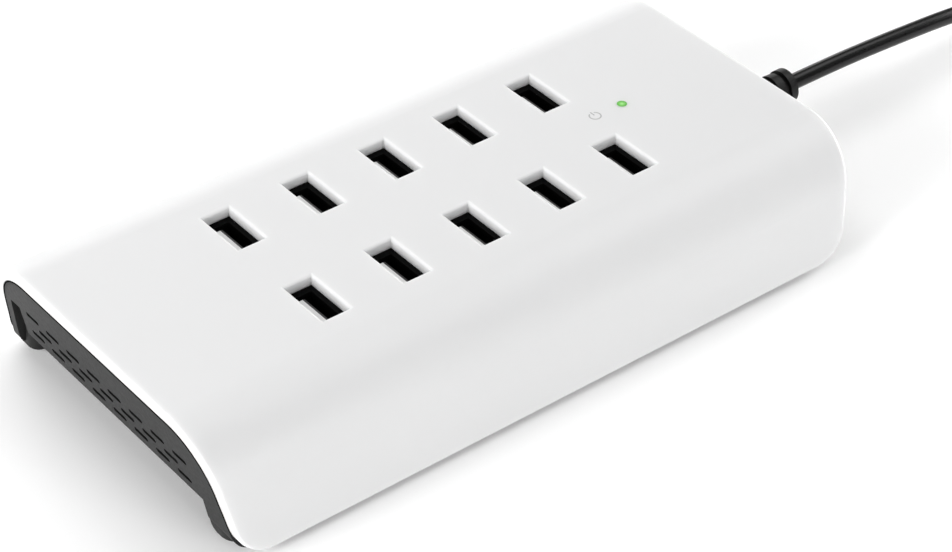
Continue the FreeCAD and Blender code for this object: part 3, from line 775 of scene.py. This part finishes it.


# Shade strip of the left end, near-black painted shade in the gap: a ring swept over the housing's
# section, leant, then led down the lower corners
def make_shade_strip(name, finish):
    foot_outward = shade_strip_radius + (shoulder_z - end_corner_top_z) * math.sin(side_flare)
    foot_y = half_flat + foot_outward / math.cos(side_flare)
    rise = shoulder_z + shade_strip_radius * math.sin(side_flare) - end_corner_top_z
    inset = rise * math.tan(side_flare)
    pivot = (0.0, 0.0, top_z)
    bpy.ops.object.select_all(action="DESELECT")
    bpy.ops.mesh.primitive_circle_add(
        vertices=shade_strip_ring_points, radius=shade_strip_thickness / 2.0,
        location=(0.0, -foot_y, end_corner_top_z), rotation=(-side_flare, 0.0, 0.0),
    )
    shade_strip = bpy.context.object
    shade_strip.name = name
    bpy.ops.object.transform_apply(location=True, rotation=True, scale=True)
    bpy.ops.object.mode_set(mode="EDIT")
    bpy.ops.mesh.select_all(action="SELECT")
    sweep((0.0, inset, rise))
    sweep_shoulder(-half_flat)
    sweep((0.0, 2.0 * half_flat, 0.0))
    sweep_shoulder(half_flat)
    sweep((0.0, inset, -rise))
    bpy.ops.mesh.select_all(action="SELECT")
    bpy.ops.transform.resize(value=(1.0, 1.0, 1.0 / math.cos(end_lean)), center_override=pivot)
    bpy.ops.transform.rotate(value=end_lean, orient_axis="Y", center_override=pivot)
    bpy.ops.transform.translate(value=(shade_strip_set_in - half_length, 0.0, 0.0))
    for side in (-1.0, 1.0):
        pick_vertices(shade_strip, lambda co: co.y * side > 0.0 and co.z < end_corner_top_z + shade_strip_thickness)
        sweep_corner(side)
        bpy.ops.mesh.edge_face_add()
    close_piece(shade_strip, finish)
    return shade_strip


# Block between two corners, and its middle
def start_block(name, low, high):
    size = [b - a for a, b in zip(low, high)]
    middle = [(a + b) / 2.0 for a, b in zip(low, high)]
    bpy.ops.object.select_all(action="DESELECT")
    bpy.ops.mesh.primitive_cube_add(size=1.0, location=middle, scale=size)
    piece = bpy.context.object
    piece.name = name
    bpy.ops.object.transform_apply(location=True, rotation=True, scale=True)
    return piece, middle


# Toe of the left front leg: a leaning block, round in plan and round below towards the arch
def make_toe(name, finish):
    low = (-toe_front_x, -toe_outer_y, toe_low_z)
    high = (-toe_back_x, -toe_inner_y, toe_high_z)
    piece, (middle_x, middle_y, middle_z) = start_block(name, low, high)
    pick_vertices(piece, lambda co: co.x < middle_x and co.z > middle_z)
    bpy.ops.transform.translate(value=(toe_front_x - toe_top_front_x, 0.0, 0.0))
    pick_vertices(piece, lambda co: co.y < middle_y and co.x < middle_x)
    bpy.ops.mesh.bevel(offset=toe_plan_round, segments=toe_plan_segments, affect="EDGES")
    pick_vertices(piece, lambda co: co.y > -toe_inner_y - merge_distance and co.z < middle_z)
    bpy.ops.mesh.bevel(offset=toe_inner_round, segments=toe_inner_segments, affect="EDGES")
    pick_vertices(piece, lambda co: co.z < toe_low_z + merge_distance)
    bpy.ops.mesh.bevel(
        offset=toe_edge_round, segments=toe_edge_segments, affect="EDGES", clamp_overlap=True,
    )
    close_piece(piece, finish)
    return piece


# Rail end at the left: a block with a leaning outer side and round edges
def make_rail_end(name, finish):
    low = (-rail_end_front_x, rail_end_inner_y, rail_end_low_z)
    high = (-rail_end_back_x, rail_end_outer_y, rail_end_high_z)
    piece, (middle_x, middle_y, middle_z) = start_block(name, low, high)
    pick_vertices(piece, lambda co: co.y > middle_y and co.z > middle_z)
    bpy.ops.transform.translate(value=(0.0, rail_end_top_outer_y - rail_end_outer_y, 0.0))
    pick_vertices(piece, lambda co: co.y < middle_y and co.x < middle_x)
    bpy.ops.mesh.bevel(offset=rail_end_inner_round, segments=rail_end_inner_segments, affect="EDGES")
    pick_vertices(piece, lambda co: co.z < middle_z)
    bpy.ops.mesh.bevel(offset=rail_end_edge_round, segments=rail_end_edge_segments, affect="EDGES")
    close_piece(piece, finish)
    return piece


def make_end_pieces(finishes):
    # Near-black strips standing in for the shadow in the gaps between cover and end caps: painted
    # shade
    shade_strip_black = soft_rubber("shade_strip_black", shade=0.0015, bloom=0.003, roughness=0.7, gloss=0.02)
    shade_strip = make_shade_strip("cap_shade_strip_left", shade_strip_black)
    rail_end = make_rail_end("rail_end_left", finishes["base"])
    toe = make_toe("leg_toe_left", finishes["end_cap"])
    join_housing(mirrored_copy(shade_strip, "cap_shade_strip_right"))
    join_housing(mirrored_copy(rail_end, "rail_end_right"))
    join_housing(mirrored_copy(toe, "leg_toe_right"))
    join_housing(shade_strip)
    join_housing(rail_end)
    join_housing(toe)


def make_floor():
    bpy.ops.object.select_all(action="DESELECT")
    bpy.ops.mesh.primitive_plane_add(size=floor_size, location=(0.0, 0.0, 0.0))
    floor = bpy.context.object
    floor.name = "floor"
    finish = Finish("pale_floor")
    finish.set(
        Base_Color=grey(0.97),
        Roughness=0.8,
        Specular_IOR_Level=0.1,
        Emission_Color=grey(1.0),
        Emission_Strength=floor_glow,
    )
    floor.data.materials.append(finish.material)


def make_area_light(name, place, power):
    light = bpy.data.lights.new(name, "AREA")
    light.shape = "DISK"
    light.size = softbox_size
    light.energy = power
    lamp = bpy.data.objects.new(name, light)
    lamp.location = place
    yaw = math.atan2(-place[0], place[1])
    pitch = math.atan2(math.hypot(place[0], place[1]), place[2])
    lamp.rotation_euler = (pitch, 0.0, yaw + math.pi)
    bpy.context.collection.objects.link(lamp)


def make_light():
    world = bpy.data.worlds.new("studio")
    world.use_nodes = True
    background = world.node_tree.nodes["Background"]
    background.inputs["Color"].default_value = grey(1.0)
    background.inputs["Strength"].default_value = world_strength
    bpy.context.scene.world = world
    for name, place, power in softboxes:
        make_area_light(name, place, power)
    bpy.context.scene.view_settings.view_transform = "Standard"


def make_camera():
    data = bpy.data.cameras.new("photo_camera")
    data.lens = camera_lens
    data.sensor_width = camera_sensor
    data.clip_start = camera_clip
    camera = bpy.data.objects.new("photo_camera", data)
    camera.location = camera_place
    camera.rotation_euler = [math.radians(angle) for angle in camera_turn_deg]
    bpy.context.collection.objects.link(camera)
    bpy.context.scene.camera = camera


finishes = make_finishes()
dress_nodes(finishes)
make_lead(finishes["cord"])
make_end_pieces(finishes)
make_floor()
make_light()
make_camera()
